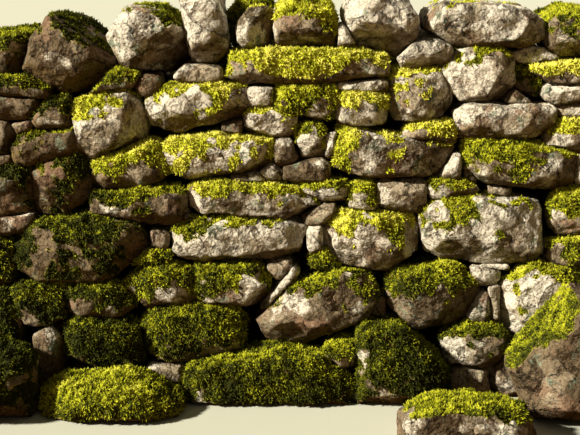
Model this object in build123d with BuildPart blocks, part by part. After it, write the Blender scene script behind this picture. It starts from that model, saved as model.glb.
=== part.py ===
from build123d import *
import os
from dataclasses import dataclass
from math import copysign, cos, hypot, pi, radians, sin

# Dry stone wall: two battered faces of coursed rubble round a core of hearting, closed by a
# wall head at each end, with large cope stones laid across the top and loose boulders at its
# foot. X runs along the wall, the front face looks along -Y and Z is up. The origin is on the
# ground at the middle of the base.

# Overall sizes in mm. The batter is the lean of each face, so the thickness is given twice.
wall_length = 2100.0
wall_height = 1238.0
base_thickness = 700.0
thickness_at_one_metre = 450.0
hearting_thickness = 100.0
cope_thickness = 410.0
setback_cope_front = 100.0

# The stones below are measured on a wall of this length and height.
measured_length = 2100.0
measured_height = 1238.0

# How the stones are fitted. Each one is dressed out to its neighbours by the allowance, and
# neighbouring beds lie a clearance apart.
bed_allowance = 15.0
bed_clearance = 0.3
least_edge = 7.0

# The form of one stone: the corners of its outline, how square it is, and how it rounds off
# from its full section to the nose in front and to the tail in the core.
outline_corners = 10
most_corners = 8
squareness = 2.7
nose_size = 0.5
shoulder_size = 0.84
tail_size = 0.62
crown_share = 0.34
deepest_crown = 46.0
tail_share = 0.3
touch_steps = 60
cope_back_size = 0.78
back_face_height = 1060.0

# The corners broken off the front of each large stone: how many, and how deep they go as a
# share of the stone's size.
broken_corners = 5
least_break = 0.05
most_break = 0.14
largest_broken_size = 220.0


@dataclass(frozen=True)
class Stone:
    """One stone by its face: middle, width, height, tilt in degrees and how proud it stands.

    A taper makes its right end higher, or lower if negative. It is squarer the larger square is.
    """

    x: float
    z: float
    width: float
    height: float
    tilt: float = 0.0
    proud: float = 0.0
    taper: float = 0.0
    square: float = squareness


@dataclass(frozen=True)
class Boulder:
    """A boulder that lies on the ground against the wall.

    It has an outline, a place for its nose in front of the wall's middle, the size of its
    nose, the size that is left of it at the wall, and the share of its depth where it is
    largest.
    """

    stone: Stone
    front: float
    nose: float = 0.4
    rear: float = 0.9
    largest: float = 0.84


# Cope stones, each in a piece of its own, from the left end of the wall to the right.
COPES = {
    "cope_stone_01": Stone(-980, 1030, 128, 150, 4, -8),
    "cope_stone_02": Stone(-845, 1036, 124, 126, 0, 0),
    "cope_stone_03": Stone(-657, 1032, 270, 232, -14, 18),
    "cope_stone_04": Stone(-424, 1066, 248, 188, -12, 14),
    "cope_stone_05": Stone(-258, 1119, 132, 236, 10, 4),
    "cope_stone_06": Stone(45, 1124, 202, 146, 0, 10),
    "cope_stone_07": Stone(273, 1130, 216, 190, -22, 20),
    "cope_stone_08": Stone(580, 1113, 338, 120, -4, 12),
    "cope_stone_09": Stone(852, 1088, 172, 128, 2, 6),
    "cope_stone_10": Stone(994, 1062, 110, 160, -3, -10),
}

# One cope stone is set back, with a small stone leaning in front of it.
SETBACK_COPE = {"cope_stone_set_back": Stone(-124, 1114, 130, 138, 3, 0)}
LEANING_STONE = {"cope_leaning_stone": Stone(-97, 1108, 98, 112, 0, 4)}

# The largest stones of the front face, each in a piece of its own, from the top course down.
FACE_STONES = {
    "face_stone_01": Stone(42, 1002, 498, 104, 2, 16),
    "face_stone_02": Stone(-270, 882, 300, 142, 6, 10),
    "face_stone_03": Stone(-552, 830, 212, 200, 12, 12),
    "face_stone_04": Stone(566, 976, 206, 162, -4, 4),
    "face_stone_05": Stone(388, 909, 184, 158, -4, 2),
    "face_stone_06": Stone(636, 838, 314, 104, 4, 10),
    "face_stone_07": Stone(300, 748, 378, 152, -3, 16),
    "face_stone_08": Stone(680, 711, 366, 150, -7, 14),
    "face_stone_09": Stone(-211, 737, 334, 120, 3, 6),
    "face_stone_10": Stone(-482, 699, 226, 122, 14, 6),
    "face_stone_11": Stone(-688, 650, 196, 148, 42, 4),
    "face_stone_12": Stone(-450, 588, 290, 108, -2, 12, 0.15),
    "face_stone_13": Stone(-108, 608, 388, 104, -2, 10),
    "face_stone_14": Stone(-623, 457, 420, 206, 0, 26),
    "face_stone_15": Stone(-157, 485, 412, 130, 0, 12),
    "face_stone_16": Stone(232, 484, 296, 192, 0, 8),
    "face_stone_17": Stone(583, 516, 394, 204, -1, 22),
    "face_stone_18": Stone(86, 277, 366, 190, 24, 30),
    "face_stone_19": Stone(425, 311, 284, 196, 3, 18),
    "face_stone_20": Stone(772, 294, 286, 232, 0, 12),
    "face_stone_21": Stone(-297, 200, 316, 186, 3, 16),
    "foot_boulder_1": Stone(-62, 20, 520, 330, 0, 52, 0.0, 2.3),
    "foot_boulder_2": Stone(338, 20, 292, 466, 0, 62, -0.38, 2.3),
}

# The smaller stones of the front face, by the part of the face that they fill.
FACE_GROUPS = {
    "pinning_stones_top": [
        Stone(165, 1086, 50, 50, 0, -10),
        Stone(404, 1030, 142, 74, 9, 2),
        Stone(-268, 976, 130, 46, 0, -4),
        Stone(-517, 955, 140, 60, 15, 2),
        Stone(-422, 948, 52, 44, 0, -12),
        Stone(-86, 907, 72, 48, 0, -8),
        Stone(48, 896, 198, 92, -6, 4),
        Stone(220, 941, 138, 24, 0, -14),
        Stone(215, 878, 162, 98, 0, 0),
        Stone(-170, 828, 46, 38, 0, -12),
        Stone(-62, 838, 154, 76, -3, -4),
        Stone(62, 776, 82, 88, 0, -8),
        Stone(130, 767, 42, 56, 0, -16),
    ],
    "left_face_stones_top": [
        Stone(-815, 942, 196, 62, -6, 6),
        Stone(-830, 881, 154, 78, 0, 0),
        Stone(-700, 856, 132, 80, 10, -2),
        Stone(-798, 821, 46, 28, 0, -14),
        Stone(-866, 790, 88, 100, 0, -6),
        Stone(-733, 762, 212, 94, 8, 4),
    ],
    "right_face_stones_top": [
        Stone(425, 803, 152, 80, 12, 0),
        Stone(818, 981, 196, 70, 0, 6),
        Stone(836, 922, 156, 50, 0, -4),
        Stone(710, 950, 84, 86, -20, -46),
        Stone(678, 905, 54, 26, 0, -20),
        Stone(730, 1024, 130, 38, -5, -42),
        Stone(842, 795, 150, 94, 0, -4),
        Stone(856, 870, 112, 38, 0, -24),
        Stone(487, 697, 68, 72, 0, -6),
        Stone(537, 682, 30, 32, 0, -24),
        Stone(890, 697, 50, 96, 0, -18),
    ],
    "pinning_stones_middle": [
        Stone(337, 621, 152, 88, 0, 2),
        Stone(217, 614, 82, 84, 0, -2),
        Stone(106, 632, 134, 56, 0, -6),
        Stone(90, 565, 90, 52, 15, -8),
        Stone(-125, 668, 82, 22, 0, -20),
        Stone(-54, 684, 54, 32, 0, -16),
        Stone(-11, 743, 58, 76, 0, -8),
        Stone(45, 690, 126, 68, 0, -2),
        Stone(86, 486, 46, 70, 0, -10),
        Stone(111, 424, 78, 48, 0, -12),
        Stone(-397, 480, 54, 46, 0, -14),
        Stone(-421, 436, 122, 46, 0, -6),
        Stone(484, 643, 138, 54, 0, -4),
        Stone(630, 637, 48, 32, 0, -30),
    ],
    "left_face_stones_middle": [
        Stone(-845, 630, 152, 160, 0, 0),
        Stone(-842, 531, 148, 42, 5, -8),
        Stone(-872, 724, 78, 22, 0, -14),
        Stone(-880, 414, 82, 134, 0, -10),
    ],
    "right_face_stones_middle": [
        Stone(855, 565, 126, 140, 0, -2),
        Stone(842, 452, 146, 70, 0, -4),
    ],
    "pinning_stones_foot": [
        Stone(-32, 333, 152, 34, 52, -4),
        Stone(-28, 397, 56, 44, 0, -14),
        Stone(275, 272, 46, 54, 0, -20),
        Stone(593, 377, 68, 56, 0, -14),
        Stone(620, 296, 36, 102, 10, -18),
        Stone(581, 273, 66, 74, 0, -12),
        Stone(620, 402, 64, 18, 0, -26),
        Stone(158, 148, 90, 62, 0, 26),
    ],
    "face_stones_foot": [
        Stone(560, 166, 188, 130, 0, 22),
        Stone(-571, 172, 234, 168, -5, 14),
        Stone(-577, 305, 200, 100, 0, 12),
        Stone(-765, 290, 182, 118, 5, 8),
        Stone(-858, 240, 132, 180, 10, 0),
        Stone(-386, 346, 208, 128, -3, 8),
        Stone(-184, 351, 238, 132, 0, 10),
    ],
    "footing_stones": [
        Stone(-852, 66, 136, 156, 0, -10),
        Stone(-735, 100, 92, 226, 0, -6),
        Stone(-570, 36, 240, 92, 0, -10),
        Stone(-385, 44, 130, 108, 0, -8),
        Stone(550, 42, 122, 106, 0, -8),
        Stone(762, 82, 302, 182, 0, -6),
    ],
}

# Wall heads: through stones at each end, alternately long and short along the wall.
HEADS = {
    "wall_head_left": [
        Stone(-984, 92, 132, 196, 0, 4),
        Stone(-993, 274, 112, 164, 0, -6),
        Stone(-982, 450, 136, 182, 0, 2),
        Stone(-994, 630, 110, 174, 0, -8),
        Stone(-983, 806, 134, 172, 0, 0),
        Stone(-990, 924, 118, 62, 0, -4),
    ],
    "wall_head_right": [
        Stone(992, 88, 114, 188, 0, -6),
        Stone(982, 272, 136, 176, 0, 4),
        Stone(993, 452, 112, 182, 0, -8),
        Stone(983, 628, 132, 170, 0, 2),
        Stone(993, 802, 112, 174, 0, -6),
        Stone(984, 930, 130, 78, 0, 0),
    ],
}

# Boulders lying on the ground at the foot of the front face.
BOULDERS = {
    "apron_boulder_1": Boulder(Stone(-880, 80, 268, 250), 566.0),
    "apron_boulder_2": Boulder(Stone(-534, 20, 420, 168, -2, 0, 0.0, 2.3), 534.0, 0.5),
    "apron_boulder_3": Boulder(Stone(508, 46, 404, 150), 720.0, 0.74, 0.46, 0.34),
    "apron_boulder_4": Boulder(Stone(860, 130, 460, 378, 55.5, 0, 0.0, 4.0), 572.0, 0.72),
}

length_ratio = wall_length / measured_length
height_ratio = wall_height / measured_height
batter = (base_thickness - thickness_at_one_metre) / 2000.0
core_face = hearting_thickness / 2


def wobble(stone, step):
    """A small uneven number from -1 to 1 that stays the same for one stone and step."""
    return sin(stone.x * 12.9 + stone.z * 7.3 + step * 2.4)


def convex_hull(points):
    """Corners of the smallest convex outline round the points, anticlockwise."""
    ordered = sorted(set(points))
    halves = []
    for run in (ordered, ordered[::-1]):
        half = []
        for x, z in run:
            while len(half) > 1:
                (x0, z0), (x1, z1) = half[-2:]
                if (x1 - x0) * (z - z0) - (z1 - z0) * (x - x0) > 0:
                    break
                half.pop()
            half.append((x, z))
        halves += half[:-1]
    return halves


def outline(stone, grow=0.0):
    """The stone's outline on the face, grown by an allowance on every side."""
    half_width = stone.width * length_ratio / 2 + grow
    half_height = stone.height * height_ratio / 2 + grow
    turn = radians(stone.tilt)
    corners = []
    for step in range(outline_corners):
        angle = 2 * pi * (step + 0.5 + 0.22 * wobble(stone, step)) / outline_corners
        across = copysign(abs(cos(angle)) ** (2 / stone.square), cos(angle)) * half_width
        up = copysign(abs(sin(angle)) ** (2 / stone.square), sin(angle)) * half_height
        up *= 1 + stone.taper * across / half_width
        x = stone.x * length_ratio + across * cos(turn) - up * sin(turn)
        z = stone.z * height_ratio + across * sin(turn) + up * cos(turn)
        corners.append((x, z))
    return convex_hull(corners)


def edge_normals(corners):
    """Unit normals of the outline's edges, pointing out of it."""
    normals = []
    for (x0, z0), (x1, z1) in zip(corners, corners[1:] + corners[:1]):
        length = hypot(x1 - x0, z1 - z0)
        normals.append(((z1 - z0) / length, (x0 - x1) / length))
    return normals


def reach(corners, normal):
    """How far the outline reaches along a direction."""
    return max(x * normal[0] + z * normal[1] for x, z in corners)


def joint_between(first, second):
    """The joint between two outlines: its normal, from first to second, and its place."""
    best = None
    away = [(-x, -z) for x, z in edge_normals(second)]
    for normal in edge_normals(first) + away:
        near = reach(first, normal)
        far = -reach(second, (-normal[0], -normal[1]))
        if best is None or far - near > best[0]:
            best = (far - near, normal, (near + far) / 2)
    return best[1], best[2]


def trim(corners, normal, limit):
    """The part of a convex outline that lies within the limit along the normal."""
    kept = []
    for (x0, z0), (x1, z1) in zip(corners, corners[1:] + corners[:1]):
        over0 = x0 * normal[0] + z0 * normal[1] - limit
        over1 = x1 * normal[0] + z1 * normal[1] - limit
        if over0 <= 0:
            kept.append((x0, z0))
        if over0 * over1 < 0:
            share = over0 / (over0 - over1)
            kept.append((x0 + share * (x1 - x0), z0 + share * (z1 - z0)))
    return kept


def corner_area(before, corner, after):
    """The area that an outline loses without this corner."""
    run = (corner[0] - before[0], corner[1] - before[1])
    rise = (after[0] - before[0], after[1] - before[1])
    return abs(run[0] * rise[1] - run[1] * rise[0]) / 2


def simplify(corners):
    """Drops the least corners of an outline, and one end of each edge that is too short."""
    corners = list(corners)
    while len(corners) > 4:
        count = len(corners)
        rings = list(zip(corners[-1:] + corners[:-1], corners, corners[1:] + corners[:1]))
        areas = [corner_area(before, corner, after) for before, corner, after in rings]
        edges = [hypot(corner[0] - before[0], corner[1] - before[1]) for before, corner, after in rings]
        short = [i for i in range(count) if edges[i] < least_edge]
        if count <= most_corners and not short:
            break
        choices = [j % count for i in short for j in (i - 1, i)] or range(count)
        corners.pop(min(choices, key=lambda i: areas[i]))
    return corners


def fit_stones(stones, behind=()):
    """Outlines of stones that share a face, each dressed out to the joints with the rest.

    Two stones that lie one behind the other are not fitted to each other.
    """
    plain = {stone: outline(stone) for stone in stones}
    fitted = {}
    for stone in stones:
        corners = outline(stone, bed_allowance)
        for other in stones:
            close = (stone.width + other.width) / 2 + (stone.height + other.height) / 2
            apart = hypot(stone.x - other.x, stone.z - other.z)
            if other == stone or apart > close + 4 * bed_allowance or {stone, other} == set(behind):
                continue
            normal, place = joint_between(plain[stone], plain[other])
            corners = trim(corners, normal, place - bed_clearance / 2)
        for normal, limit in (((0, -1), 0.0), ((1, 0), wall_length / 2), ((-1, 0), wall_length / 2)):
            corners = trim(corners, normal, limit)
        fitted[stone] = simplify(corners)
    return fitted


def middle(corners):
    """The mean of an outline's corners."""
    return sum(x for x, z in corners) / len(corners), sum(z for x, z in corners) / len(corners)


def section(stone, corners, size, step):
    """The outline at one depth, shrunk to a size and shifted a little, as rough stone is."""
    x_middle, z_middle = middle(corners)
    spare = (1 - size) * 0.22 * min(stone.width, stone.height)
    x_middle += spare * wobble(stone, step)
    z_middle += spare * wobble(stone, step + 0.7)
    x_centre, z_centre = middle(corners)
    return [(x_middle + size * (x - x_centre), z_middle + size * (z - z_centre)) for x, z in corners]


def half_thickness(stone):
    """Half the wall's thickness at the height of a stone's middle."""
    return base_thickness / 2 - batter * stone.z * height_ratio


def crown(stone):
    """Depth over which a stone rounds off from its full section to its nose."""
    return min(crown_share * min(stone.width, stone.height), deepest_crown)


def face_stations(stone, corners, nose, tail):
    """Sections of a stone laid into the wall from its nose in front to its tail in the core."""
    bed_end = tail - tail_share * (tail - nose)
    return [
        (nose, section(stone, corners, nose_size, 1)),
        (nose + 0.36 * crown(stone), section(stone, corners, shoulder_size, 2)),
        (nose + crown(stone), corners),
        (bed_end, corners),
        (tail, section(stone, corners, tail_size, 3)),
    ]


def through_stations(stone, corners, front, back):
    """Sections of a stone that shows on both faces, rounded off at each end."""
    return [
        (front, section(stone, corners, nose_size, 1)),
        (front + 0.36 * crown(stone), section(stone, corners, shoulder_size, 2)),
        (front + crown(stone), corners),
        (back - crown(stone), corners),
        (back - 0.36 * crown(stone), section(stone, corners, shoulder_size, 4)),
        (back, section(stone, corners, nose_size, 5)),
    ]


def cope_stations(stone, corners, front, back):
    """Sections of a cope stone, which is largest in front and falls away towards the back."""
    return [
        (front, section(stone, corners, nose_size, 1)),
        (front + 0.36 * crown(stone), section(stone, corners, shoulder_size, 2)),
        (front + crown(stone), corners),
        ((front + back) / 2, corners),
        (back - crown(stone), section(stone, corners, cope_back_size, 4)),
        (back, section(stone, corners, nose_size, 5)),
    ]


def boulder_stations(boulder, corners, rear, back):
    """Sections of a boulder from its nose to the section that leans on the wall."""
    length = boulder.front + back
    growing = [(0.0, 0.0), (0.15, 0.55), (0.5, 0.88), (1.0, 1.0)]
    stations = []
    for share, grown in growing:
        size = boulder.nose + grown * (1 - boulder.nose)
        depth = -boulder.front + share * boulder.largest * length
        stations.append((depth, section(boulder.stone, corners, size, 1 + share)))
    return [*stations, (back, rear)]


def nose_of(stone):
    """Where the nose of a front face stone lies."""
    return -half_thickness(stone) - stone.proud


def overlaps(first, second):
    """Whether two outlines cover each other's place on the face."""
    normal, place = joint_between(first, second)
    return reach(first, normal) > place


def depth_of_touch(stations, corners):
    """How deep the front of a stone lies behind the place that an outline covers."""
    for (depth0, ring0), (depth1, ring1) in zip(stations, stations[1:]):
        for step in range(touch_steps):
            share = step / touch_steps
            pairs = zip(ring0, ring1)
            ring = [(x0 + share * (x1 - x0), z0 + share * (z1 - z0)) for (x0, z0), (x1, z1) in pairs]
            if overlaps(ring, corners):
                return depth0 + share * (depth1 - depth0)
    return 0.0


def breaks(stone, stations):
    """Planes that face out of a stone, along which its front corners are broken off."""
    planes = []
    size = min(stone.width, stone.height, largest_broken_size)
    for step in range(broken_corners):
        turn = 2 * pi * (step + 0.4 * wobble(stone, step + 10)) / broken_corners
        outward = -1.2 + 0.5 * wobble(stone, step + 20)
        facing = Vector(cos(turn), outward, sin(turn)).normalized()
        corners = [Vector(x, depth, z) for depth, ring in stations for x, z in ring]
        furthest = max(facing.dot(corner) for corner in corners)
        share = 0.5 + 0.5 * wobble(stone, step + 30)
        broken = size * (least_break + share * (most_break - least_break))
        planes.append(Plane(origin=facing * (furthest - broken), z_dir=facing))
    return planes


# The joints of the whole face. The setback cope and the stone leaning on it share their place,
# one behind the other.
face_stones = [*FACE_STONES.values(), *(stone for group in FACE_GROUPS.values() for stone in group)]
through_stones = [*COPES.values(), *(stone for group in HEADS.values() for stone in group)]
setback_pair = [*SETBACK_COPE.values(), *LEANING_STONE.values()]
fits = fit_stones([*face_stones, *through_stones, *setback_pair], behind=setback_pair)

os.makedirs("parts", exist_ok=True)

# Sections of every stone, by the piece that it belongs to.
pieces = {name: [] for name in (*COPES, *SETBACK_COPE, *LEANING_STONE, *FACE_STONES, *FACE_GROUPS, *HEADS)}
for name, stone in COPES.items():
    front = -cope_thickness / 2 - stone.proud
    back = cope_thickness / 2 + 10 * wobble(stone, 6)
    pieces[name].append(cope_stations(stone, fits[stone], front, back))
for name, stone in SETBACK_COPE.items():
    pieces[name].append(cope_stations(stone, fits[stone], -setback_cope_front, cope_thickness / 2))
for name, stone in LEANING_STONE.items():
    nose = -cope_thickness / 2 - stone.proud
    pieces[name].append(face_stations(stone, fits[stone], nose, -setback_cope_front - bed_clearance))
for name, stone in FACE_STONES.items():
    pieces[name].append(face_stations(stone, fits[stone], nose_of(stone), -core_face - bed_clearance))
for name, group in FACE_GROUPS.items():
    for stone in group:
        pieces[name].append(face_stations(stone, fits[stone], nose_of(stone), -core_face - bed_clearance))
for name, group in HEADS.items():
    for stone in group:
        pieces[name].append(through_stations(stone, fits[stone], nose_of(stone), half_thickness(stone)))

front_stations = [stations for stones in pieces.values() for stations in stones]

# The back face has the same courses, with plainer stones that stand a little less proud.
back_courses = {
    "back_face_top": 760.0,
    "back_face_upper": 520.0,
    "back_face_lower": 240.0,
    "back_face_foot": 0.0,
}
for name in back_courses:
    pieces[name] = []
for stone in face_stones:
    if stone.z > back_face_height:
        continue
    name = next(name for name, least in back_courses.items() if stone.z >= least)
    nose = half_thickness(stone) + 0.4 * stone.proud + 6 * wobble(stone, 7)
    nose_station, _, *stations = face_stations(stone, fits[stone], -nose, -core_face - bed_clearance)
    pieces[name].append([(-depth, corners) for depth, corners in (nose_station, *stations)])

# Boulders at the foot: each reaches back to the stones of the face behind it.
boulder_fits = fit_stones([boulder.stone for boulder in BOULDERS.values()])
for name, boulder in BOULDERS.items():
    corners = boulder_fits[boulder.stone]
    x_middle, _ = middle(corners)
    rear = [(x_middle + boulder.rear * (x - x_middle), boulder.rear * z) for x, z in corners]
    back = min(depth_of_touch(stations, rear) for stations in front_stations) - bed_clearance
    pieces[name] = [boulder_stations(boulder, corners, rear, back)]


def flat_faced(solid):
    """The same solid, with each face rebuilt as a plane inside its edges."""
    return Solid(Shell([Face(face.outer_wire()) for face in solid.faces()]))


broken_stones = {**COPES, **LEANING_STONE, **FACE_STONES}
broken_stones.update({name: boulder.stone for name, boulder in BOULDERS.items()})
whole_stones = ("foot_boulder_1", "foot_boulder_2")

for name, stones in pieces.items():
    solids = []
    for stations in stones:
        is_broken = name in broken_stones and name not in whole_stones
        planes = breaks(broken_stones[name], stations) if is_broken else []
        with BuildPart() as rough_stone:
            for depth, corners in stations:
                with BuildSketch(Plane.XZ.offset(-depth)):
                    Polygon(*corners, align=None)
            loft(ruled=True)
            for plane in planes:
                split(bisect_by=plane, keep=Keep.BOTTOM)
        solids.append(flat_faced(rough_stone.part))
    with BuildPart() as piece:
        add(solids)
    piece.part.label = name
    export_step(piece.part, f"parts/{name}.step")

# Hearting: the packed small stone between the faces, from the ground to the lowest cope.
head_inner_edges = [
    min(abs(x) for x, z in fits[stone]) for group in HEADS.values() for stone in group
]
cope_undersides = [min(z for x, z in fits[stone]) for stone in (*COPES.values(), *SETBACK_COPE.values())]
hearting_length = 2 * (min(head_inner_edges) - bed_clearance)
hearting_height = min(cope_undersides) - bed_clearance
with BuildPart() as hearting:
    with BuildSketch(Plane.XY):
        Rectangle(hearting_length, hearting_thickness)
    extrude(amount=hearting_height)
hearting.part.label = "hearting"
export_step(hearting.part, "parts/hearting.step")
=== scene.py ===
"""Dresses a dry stone wall: rough stones, lichen, moss, the floor, the light and the camera."""

import logging
import math
import random
from dataclasses import dataclass, field
from enum import Enum

import bpy
import numpy as np
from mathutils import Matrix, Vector, noise


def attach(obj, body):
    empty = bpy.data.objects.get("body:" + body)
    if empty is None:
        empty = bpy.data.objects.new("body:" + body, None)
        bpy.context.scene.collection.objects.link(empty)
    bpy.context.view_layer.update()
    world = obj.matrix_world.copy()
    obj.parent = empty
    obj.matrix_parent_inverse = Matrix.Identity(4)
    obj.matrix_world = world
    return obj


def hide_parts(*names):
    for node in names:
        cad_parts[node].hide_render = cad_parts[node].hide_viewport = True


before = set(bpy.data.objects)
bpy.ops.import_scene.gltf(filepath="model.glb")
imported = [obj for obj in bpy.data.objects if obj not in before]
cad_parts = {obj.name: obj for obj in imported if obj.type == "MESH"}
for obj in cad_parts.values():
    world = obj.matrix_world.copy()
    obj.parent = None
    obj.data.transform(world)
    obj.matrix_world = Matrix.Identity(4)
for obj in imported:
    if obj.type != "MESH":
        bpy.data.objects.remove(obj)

LOG = logging.getLogger("dry_stone_wall")
Colour = tuple[float, float, float]
Point = tuple[float, float, float]
Direction = tuple[float, float, float]
Span = tuple[float, float]
Socket = bpy.types.NodeSocket

# Points of the CAD mesh that are nearer than this are one point.
MERGE_M = 0.00005
# A growth or a chip belongs to the stone whose middle is nearer than this.
NEAR_MM = 34.0
# Each face of the wall leans in from here at the ground, by this much a metre.
HALF_BASE_M = 0.35
BATTER = 0.125
# Every surface is this rough and reflects this little.
ROUGHNESS = 0.92
SPECULAR = 0.22
# No area or length is divided by less than this.
LEAST_AREA = 1e-12
LEAST_LENGTH = 1e-6
# The strands' own numbers start from one of so many seeds.
SEEDS = 1 << 30


class Cover(Enum):
    """How much of a stone the moss covers: a level, and how far it gathers at the top."""

    BARE = (-1.6, 0.1)
    RIM = (-0.86, 0.75)
    PATCHY = (-0.3, 0.2)
    CAPPED = (-0.16, 0.85)
    FULL = (0.62, 0.3)


@dataclass(frozen=True)
class Growth:
    """The moss on one stone, which is named by its place on the face in millimetres.

    more raises the cover, side gathers it to the right (or, if negative, to the left), sunny paints
    sunlight on the moss, brighter and yellower (or, if negative, paints shade), pale makes the bare
    stone lighter (or, if negative, darker), partly as its own tone and partly as painted light and
    shade, and toward favours the surfaces that face to the right and up.
    """

    x: float
    z: float
    cover: Cover
    more: float = 0.0
    side: float = 0.0
    sunny: float = 0.0
    pale: float = 0.0
    toward: tuple[float, float] = (0.0, 0.0)


GROWTHS = (
    Growth(-845, 1036, Cover.CAPPED, more=-0.1),
    Growth(-657, 1032, Cover.CAPPED, more=-0.66, side=0.5, sunny=-0.3, pale=-0.2),
    Growth(-424, 1066, Cover.RIM, more=-0.15, side=0.8, sunny=-0.35, pale=0.02),
    Growth(-124, 1114, Cover.FULL, more=0.1, sunny=-0.3),
    Growth(-97, 1108, Cover.RIM, more=-0.1, side=-0.5),
    Growth(45, 1124, Cover.CAPPED, more=0.1, side=0.3, sunny=0.05),
    Growth(580, 1113, Cover.PATCHY, more=-0.75, side=-0.4, sunny=0.1, pale=0.06),
    Growth(852, 1088, Cover.CAPPED, more=-0.1, sunny=-0.3),
    Growth(-815, 942, Cover.CAPPED),
    Growth(-700, 856, Cover.CAPPED),
    Growth(818, 981, Cover.CAPPED, more=0.2, sunny=0.5),
    Growth(842, 795, Cover.CAPPED, more=0.1, sunny=0.5),
    Growth(42, 1002, Cover.CAPPED, more=0.34, side=-0.32, sunny=0.48),
    Growth(215, 878, Cover.CAPPED, more=0.1, sunny=0.55),
    Growth(48, 896, Cover.FULL, more=-0.2, sunny=0.1),
    Growth(106, 632, Cover.CAPPED, more=-0.1, sunny=0.3),
    Growth(-482, 699, Cover.CAPPED, more=0.2, sunny=0.65, pale=-0.12),
    Growth(680, 711, Cover.CAPPED, more=0.05, side=-0.4, sunny=-0.05, pale=-0.02),
    Growth(232, 484, Cover.CAPPED, more=-0.26, side=0.1, sunny=0.5, pale=0.12),
    Growth(425, 311, Cover.CAPPED, more=-0.12, pale=-0.12),
    Growth(772, 294, Cover.CAPPED, more=-0.62, side=0.1, sunny=0.2, pale=0.2),
    Growth(560, 166, Cover.CAPPED, more=-0.05, sunny=-0.3),
    Growth(-577, 305, Cover.CAPPED, more=0.2),
    Growth(-386, 346, Cover.CAPPED, more=0.15),
    Growth(-184, 351, Cover.CAPPED, more=0.1, side=-0.2),
    Growth(855, 565, Cover.CAPPED, sunny=0.1),
    Growth(842, 452, Cover.CAPPED, more=0.05),
    Growth(-552, 830, Cover.RIM, more=0.3, side=-0.3, sunny=0.5, pale=0.08),
    Growth(-517, 955, Cover.CAPPED, side=-0.3),
    Growth(-270, 882, Cover.PATCHY, more=0.05, side=0.1, sunny=0.5, pale=0.08),
    Growth(-211, 737, Cover.PATCHY, more=0.42, sunny=0.7, pale=0.12),
    Growth(-688, 650, Cover.PATCHY, more=0.15, side=0.2, pale=-0.18),
    Growth(-845, 630, Cover.PATCHY, side=0.4, pale=-0.16),
    Growth(-450, 588, Cover.CAPPED, more=-0.15, side=-0.5, pale=-0.06),
    Growth(-623, 457, Cover.PATCHY, more=0.25, side=-0.2, pale=-0.16),
    Growth(-108, 608, Cover.RIM, more=0.45, side=0.1, sunny=0.4, pale=0.12),
    Growth(300, 748, Cover.PATCHY, more=-0.1, side=-0.6, sunny=0.45),
    Growth(425, 803, Cover.CAPPED, more=-0.1, sunny=0.5),
    Growth(388, 909, Cover.RIM, side=-0.4, sunny=0.45, pale=0.12),
    Growth(566, 976, Cover.PATCHY, more=-0.3, pale=0.2),
    Growth(583, 516, Cover.PATCHY, more=-0.15, side=-0.2, pale=0.16),
    Growth(-157, 485, Cover.RIM, more=0.15, side=-0.4, pale=0.05),
    Growth(86, 277, Cover.RIM, more=0.42, side=0.1, pale=-0.12),
    Growth(-733, 762, Cover.PATCHY, more=-0.2, pale=-0.18),
    Growth(-62, 838, Cover.PATCHY, more=-0.1, side=0.3, sunny=0.1, pale=0.1),
    Growth(62, 776, Cover.PATCHY, more=-0.1, pale=0.1),
    Growth(484, 643, Cover.PATCHY, side=-0.3),
    Growth(-765, 290, Cover.FULL),
    Growth(-858, 240, Cover.FULL),
    Growth(-880, 414, Cover.FULL),
    Growth(-571, 172, Cover.FULL),
    Growth(-297, 200, Cover.FULL, more=-0.25),
    Growth(158, 148, Cover.FULL),
    Growth(111, 424, Cover.FULL),
    Growth(-421, 436, Cover.FULL),
    Growth(217, 614, Cover.FULL, more=-0.2, sunny=0.2),
    Growth(-258, 1119, Cover.BARE, pale=0.16),
    Growth(273, 1130, Cover.BARE, pale=0.12),
    Growth(636, 838, Cover.BARE, pale=0.1),
    Growth(-830, 881, Cover.BARE, pale=-0.1),
    Growth(404, 1030, Cover.BARE, pale=0.08),
    Growth(487, 697, Cover.BARE, pale=0.12),
    Growth(337, 621, Cover.BARE, pale=0.1),
    Growth(45, 690, Cover.BARE, pale=-0.14),
    Growth(90, 565, Cover.BARE, pale=-0.12),
    Growth(-86, 907, Cover.BARE, pale=0.08),
    Growth(710, 950, Cover.FULL, sunny=-0.3),
)

BOULDER_GROWTHS = {
    "foot_boulder_1": Growth(-62, 82, Cover.FULL, more=0.2, sunny=-0.05),
    "foot_boulder_2": Growth(340, 112, Cover.FULL, more=-0.12, side=0.1, sunny=-0.35),
    "apron_boulder_1": Growth(-880, 106, Cover.FULL),
    "apron_boulder_2": Growth(-534, 56, Cover.FULL, more=0.2, sunny=0.6),
    "apron_boulder_3": Growth(508, 46, Cover.CAPPED, more=-1.8, side=0.15, pale=-0.1, toward=(0.3, 1.8)),
    "apron_boulder_4": Growth(846, 172, Cover.BARE, more=-2.5, sunny=-0.05, pale=-0.2, toward=(-3.5, 2.9)),
}


@dataclass(frozen=True)
class Chip:
    """A flat face broken off one stone, which is named by its place as a growth's is.

    way is where the broken face looks and depth is how deep it goes, as a share of the stone's
    lesser width.
    """

    x: float
    z: float
    way: Direction
    depth: float


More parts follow.
